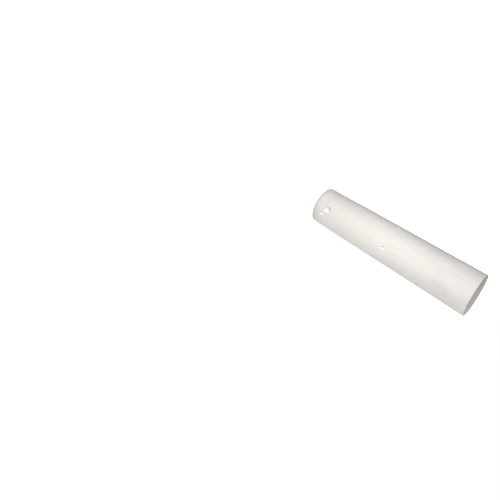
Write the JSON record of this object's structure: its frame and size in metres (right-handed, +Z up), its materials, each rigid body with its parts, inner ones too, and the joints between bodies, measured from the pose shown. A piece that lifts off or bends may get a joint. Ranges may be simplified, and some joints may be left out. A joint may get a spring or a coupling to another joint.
{
  "type": "pavement chalk stick",
  "caption": "Thick tapered stick of white cast gypsum for drawing on pavements and walls. It stands on its narrow flat end.",
  "frame": {"origin": "middle of the narrow moulded end's face, which the stick stands on", "axes": "+Z up along the stick's axis to the wide struck-off end; the pitted side faces -Y"},
  "size_m": [0.0252, 0.0252, 0.1025],
  "materials": {
    "gypsum": "matt white cast gypsum with a faint satin from the mould's wall"
  },
  "bodies": {
    "root": {"chalk_stick": "gypsum"}
  },
  "joints": []
}
